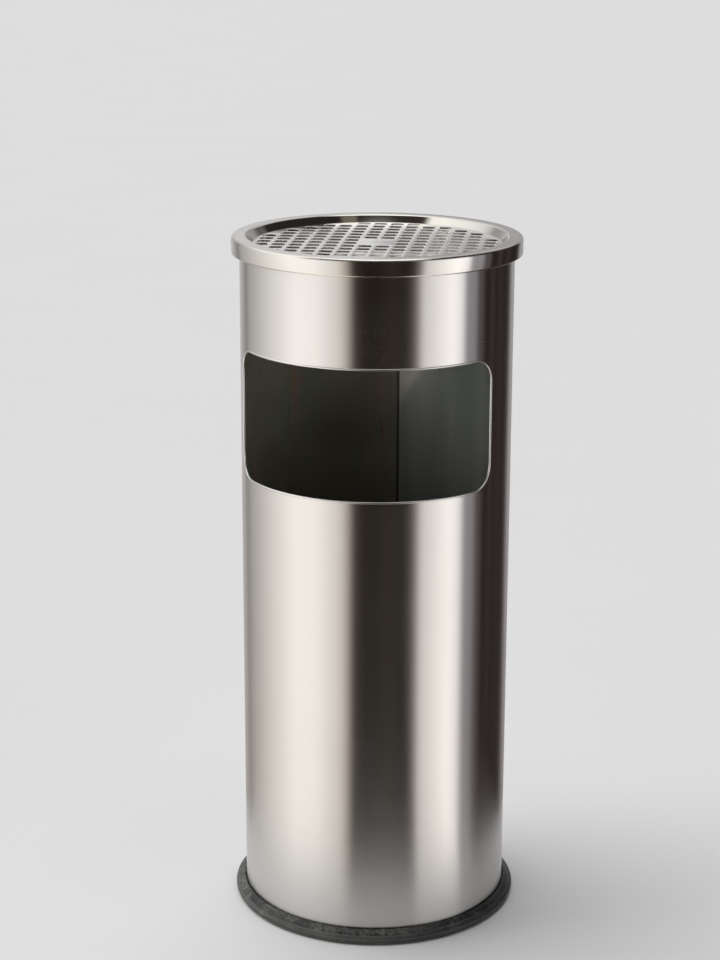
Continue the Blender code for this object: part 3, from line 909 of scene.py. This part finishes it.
def make_ashtray():
    edge, hem = 2.4 * MM, 0.9 * MM
    rim_level, skirt = 609.55 * MM, 125.35 * MM
    rim_inner = arc((114.4 * MM, rim_level - edge), edge, 145, 90, 8)
    hem_centre = (skirt - hem, 596.55 * MM)
    floor_corner = (84 * MM, 586.4 * MM)
    middle = joined(
        (0, 574 * MM), line((0, 574 * MM), (80 * MM, 574.2 * MM), 6),
        arc(floor_corner, 12 * MM, -88, -14, 14),
        rounded([(98.2 * MM, 589 * MM), (101.8 * MM, SEAT - 1.6 * MM), (103.4 * MM, SEAT),
                 (108 * MM, SEAT), rim_inner[0]], 0.9 * MM, closed=False),
        rim_inner, arc((skirt - edge, rim_level - edge), edge, 90, 0, 10),
        arc(hem_centre, hem, 0, -180, 10))
    outline = sheet_outline(middle, 0.9 * MM)
    patch = turned(outline)
    piece = add_piece("ashtray_pan_pressed", [patch], [bowl_steel, wall_steel, satin_steel],
                      "ashtray",
                      ["ashtray_pan"])
    mesh = piece.data
    centres = np.zeros(len(mesh.polygons) * 3)
    mesh.polygons.foreach_get("center", centres)
    radius = np.hypot(*centres.reshape(-1, 3)[:, :2].T)
    bands = np.searchsorted((103.4 * MM, 113.6 * MM), radius)
    mesh.polygons.foreach_set("material_index", bands)
    return piece


make_ashtray()

# %% [markdown]
# ## The strainer
#
# A disc of bright sheet with 137 round-cornered square holes in a grid, and a plain patch in
# the middle. Its flat faces are triangulated between the outlines of the holes. Each hole's
# wall is then a profile carried round the hole: the punch rolls the upper edge over a little,
# so the profile starts with a small curve.

# %% The strainer
HOLE_PITCH = 15 * MM
HOLE_HALF = 5.5 * MM
HOLE_CORNER = 1.7 * MM
STRAINER_TOP = 603.45 * MM
STRAINER_SHEET = 0.8 * MM
STRAINER_RADIUS = 107.2 * MM
PATTERN_TURN = math.radians(3.7)


def hole_centres():
    """A square grid with a crossing of two webs in the middle, kept where a whole hole fits
    inside the rim; the four cells round the middle stay solid."""
    steps = np.arange(-6.5, 7, 1) * HOLE_PITCH
    grid = np.stack(np.meshgrid(steps, steps), axis=-1).reshape(-1, 2)
    reach = np.hypot(*grid.T)
    return grid[(reach > HOLE_PITCH) & (reach < 100.5 * MM)]


def flat_face(outer, holes, height):
    """Triangles of a flat sheet at a height: the outer loop and the holes' loops are the
    constraints. A triangle whose three corners belong to one hole's loop lies in that hole,
    because the loop bulges outwards everywhere, and is dropped."""
    loops = [outer, *holes]
    starts = np.cumsum([0] + [len(loop) for loop in loops])
    edges = [(start + i, start + (i + 1) % len(loop))
             for start, loop in zip(starts, loops) for i in range(len(loop))]
    flat = np.concatenate(loops)
    _, _, faces, sources, *_ = geometry.delaunay_2d_cdt(flat.tolist(), edges, [], 0, 1e-7)
    faces = np.array([source[0] for source in sources])[np.array(faces)]
    loop_of = np.repeat(np.arange(len(loops)), [len(loop) for loop in loops])[faces]
    in_hole = (loop_of.min(axis=1) == loop_of.max(axis=1)) & (loop_of[:, 0] > 0)
    places = flat
    points = np.column_stack([places, np.full(len(places), height)])
    faces = faces[~in_hole]
    return points, faces, places[faces].reshape(-1, 2), 0, False


def loop_wall(loop_at, profile):
    """A wall round a loop: each profile point (outset, height) takes the loop grown by outset."""
    rows = [np.column_stack([loop_at(outset), np.full(len(loop_at(outset)), height)])
            for outset, height in profile]
    return grid_patch(np.array(rows), close_columns=True)


def make_strainer():
    roll = 0.22 * MM
    top, bottom = STRAINER_TOP, STRAINER_TOP - STRAINER_SHEET
    centres = hole_centres()

    def hole_loop(centre):
        def grown(outset):
            return centre + round_rectangle(HOLE_HALF + outset, HOLE_HALF + outset, HOLE_CORNER + outset, 4)
        return grown

    def disc_loop(outset):
        angles = np.linspace(0, 2 * math.pi, TURN_STEPS, endpoint=False)
        return np.column_stack([np.cos(angles), np.sin(angles)]) * (STRAINER_RADIUS - roll + outset)

    shoulder = arc((roll, top - roll), roll, 90, 180, 3)
    hole_profile = np.vstack([shoulder, [(0, bottom)]])
    edge_profile = np.vstack([arc((0, top - roll), roll, 90, 0, 3), arc((0, bottom + roll), roll, 0, -90, 3)])
    loops = [hole_loop(centre) for centre in centres]
    patches = [flat_face(disc_loop(0), [loop(roll) for loop in loops], top),
               flat_face(disc_loop(0), [loop(0) for loop in loops], bottom),
               loop_wall(disc_loop, edge_profile)]
    patches += [loop_wall(loop, hole_profile) for loop in loops]
    spin = np.array([[math.cos(PATTERN_TURN), math.sin(PATTERN_TURN), 0],
                     [-math.sin(PATTERN_TURN), math.cos(PATTERN_TURN), 0], [0, 0, 1]])
    patches = [(patch[0] @ spin, *patch[1:]) for patch in patches]
    return add_piece("punched_strainer", patches, [strainer_bright], "strainer",
                     ["ash_strainer"])


make_strainer()

# %% [markdown]
# ## The bucket
#
# A galvanised wall with its rim rolled over a wire, a base pressed into its foot, two ears
# riveted to its sides, and a wire bail that hooks into the ears. The wall's section is a
# straight line and an arc, and the rim's wire is a plain ring inside the roll.

# %% The bucket
BUCKET_MIDDLE = 107.05 * MM
BUCKET_SHEET = 0.9 * MM
BUCKET_FOOT = 18.35 * MM
CURL_CENTRE = (109.3 * MM, 327.3 * MM)
CURL_RADIUS = 2.25 * MM


def make_bucket_wall():
    bead = rounded([(BUCKET_MIDDLE, 118 * MM), (BUCKET_MIDDLE - 0.5 * MM, 122 * MM),
                    (BUCKET_MIDDLE - 0.5 * MM, 126 * MM), (BUCKET_MIDDLE, 130 * MM)], 1.2 * MM, closed=False)
    middle = joined(line((BUCKET_MIDDLE, BUCKET_FOOT), (BUCKET_MIDDLE, 110 * MM), 6), bead,
                    line((BUCKET_MIDDLE, 140 * MM), (BUCKET_MIDDLE, CURL_CENTRE[1]), 10),
                    arc(CURL_CENTRE, CURL_RADIUS, 180, -150, 26))
    outline = sheet_outline(middle, BUCKET_SHEET)
    return add_piece("bucket_wall", [turned(outline)], [zinc_sheet], "liner", ["liner_wall"])


def make_bucket_base():
    middle_radius, level, corner = 105.85 * MM, 27.35 * MM, 3 * MM
    middle = joined(line((0, level), (middle_radius - corner, level), 5),
                    arc((middle_radius - corner, level - corner), corner, 90, 0, 8),
                    (middle_radius, 18.65 * MM))
    outline = sheet_outline(middle, BUCKET_SHEET)
    return add_piece("bucket_base", [turned(outline)], [zinc_sheet], "liner", ["liner_base"])


def make_rim_wire():
    section = arc(CURL_CENTRE, 1.5 * MM, 0, -360, 14)[:-1]
    return add_piece("bucket_rim_wire", [turned(section)], [zinc_wire], "liner",
                     ["liner_rim_wire"])


make_bucket_wall()
make_bucket_base()
make_rim_wire()

# %% [markdown]
# ## Ears, rivets and bail
#
# An ear is a round-cornered plate bent to the bucket, with a boss for the bail. It is a grid
# round the pivot hole: rings grow from the hole over the boss and out to the plate's outline.
# A rivet is a turned dome on its side. The bail is a round wire that bends in one plane.

# %% Ears, rivets and bail
PIVOT_HEIGHT = 316 * MM
EAR_INNER, EAR_OUTER, BOSS_FACE = 107.8 * MM, 109.3 * MM, 110.7 * MM
EAR_LOW, EAR_HIGH, EAR_HALF = 290 * MM, 323.8 * MM, 10 * MM


def ear_rings():
    """Outline of the plate and circles round the pivot, all with the same number of points,
    as (sideways, up from the pivot)."""
    half_height = (EAR_HIGH - EAR_LOW) / 2
    middle = (EAR_HIGH + EAR_LOW) / 2 - PIVOT_HEIGHT
    plate = round_rectangle(EAR_HALF, half_height, 5 * MM, 8, 1 * MM) + (0, middle)
    angles = np.arctan2(plate[:, 1], plate[:, 0])
    circle = np.column_stack([np.cos(angles), np.sin(angles)])
    return plate, circle


def make_ear(side_name, side):
    plate, circle = ear_rings()
    edge = 0.3 * MM
    profile = [  # share of the way from circle to outline, circle radius, distance from the axis
        (0, 2.3, EAR_INNER), (0, 2.3, BOSS_FACE - edge), (0, 2.4, BOSS_FACE - 0.09 * MM),
        (0, 2.6, BOSS_FACE), (0, 5.7, BOSS_FACE), (0, 5.91, BOSS_FACE - 0.09 * MM),
        (0, 6.0, BOSS_FACE - edge), (0, 6.0, EAR_OUTER + edge), (0, 6.3, EAR_OUTER),
        (0.5, 6.3, EAR_OUTER), (0.955, 6.3, EAR_OUTER), (0.985, 6.3, EAR_OUTER - 0.1 * MM),
        (1, 6.3, EAR_OUTER - edge), (1, 6.3, EAR_INNER), (0.5, 6.3, EAR_INNER),
    ]
    rows = []
    for share, radius, reach in profile:
        flat = (1 - share) * circle * radius * MM + share * plate
        depth = np.sqrt(reach ** 2 - flat[:, 0] ** 2) if share > 0 or reach < BOSS_FACE - edge else reach
        rows.append(np.column_stack([side * (depth + 0 * flat[:, 0]), flat[:, 0], PIVOT_HEIGHT + flat[:, 1]]))
    patch = grid_patch(np.array(rows), close_rows=True, close_columns=True)
    name = f"liner_ear_{side_name}"
    return add_piece(f"bucket_ear_{side_name}", [patch], [zinc_sheet], "liner", [name])


def make_rivet(side_name, side, place, height):
    """A dome profile (reach along X, radius) turned about a level line through the ear."""
    head, tail = EAR_OUTER + 0.3 * MM, 106.3 * MM
    dome = arc((0, 0), 1, 0, 90, 6)
    profile = np.concatenate([
        np.column_stack([head + 1.3 * MM * dome[::-1, 1], 3.4 * MM * dome[::-1, 0]]),
        [(head, 1.9 * MM), (tail, 1.9 * MM), (tail, 2.8 * MM)],
        np.column_stack([tail - 0.8 * MM * dome[:, 1], 2.8 * MM * dome[:, 0]])])
    turns = np.linspace(0, 2 * math.pi, 32, endpoint=False)
    points = np.stack([side * (profile[:, :1] + 0 * turns), profile[:, 1:] * np.cos(turns),
                       height + profile[:, 1:] * np.sin(turns)], axis=2)
    name = f"ear_rivet_{side_name}_{place}"
    return add_piece(f"bucket_rivet_{side_name}_{place}", [grid_patch(points, close_columns=True)],
                     [zinc_wire], "liner", [name])


def make_bail():
    """A half hoop in a plane through the pivots, with ends bent inwards and rounded off."""
    hoop, wire, bend, tip = 115.2 * MM, 2 * MM, 3 * MM, 108.6 * MM
    drop = math.radians(13.4)
    first = math.degrees(bend / hoop)
    half = joined(line((tip, 0), (hoop - bend, 0), 5), arc((hoop - bend, -bend), bend, 90, 0, 8)[:-1],
                  arc((0, 0), hoop, -first, -90, 60))
    flat = joined(half, (half * (-1, 1))[::-1])
    steps = distances(flat)
    edge = 0.5 * MM
    reach = np.minimum(steps, steps[-1] - steps)
    radii = wire - edge + np.sqrt(np.maximum(edge ** 2 - np.maximum(edge - reach, 0) ** 2, 0))
    ends = [flat[:1], flat, flat[-1:]]
    flat, radii = np.concatenate(ends), np.concatenate([[0], radii, [0]])
    path = np.column_stack([flat[:, 0], flat[:, 1] * math.cos(drop),
                            PIVOT_HEIGHT + flat[:, 1] * math.sin(drop)])
    normal = np.array([0, -math.sin(drop), math.cos(drop)])
    patch = tube(path, normal, radii, 20)
    return add_piece("bucket_bail", [patch], [zinc_wire], "bail", ["bail_handle"])


RIVET_HEIGHTS = (("lower", 297 * MM), ("upper", 305 * MM))
for side_name, side in (("left", -1), ("right", 1)):
    make_ear(side_name, side)
    for place, height in RIVET_HEIGHTS:
        make_rivet(side_name, side, place, height)
make_bail()
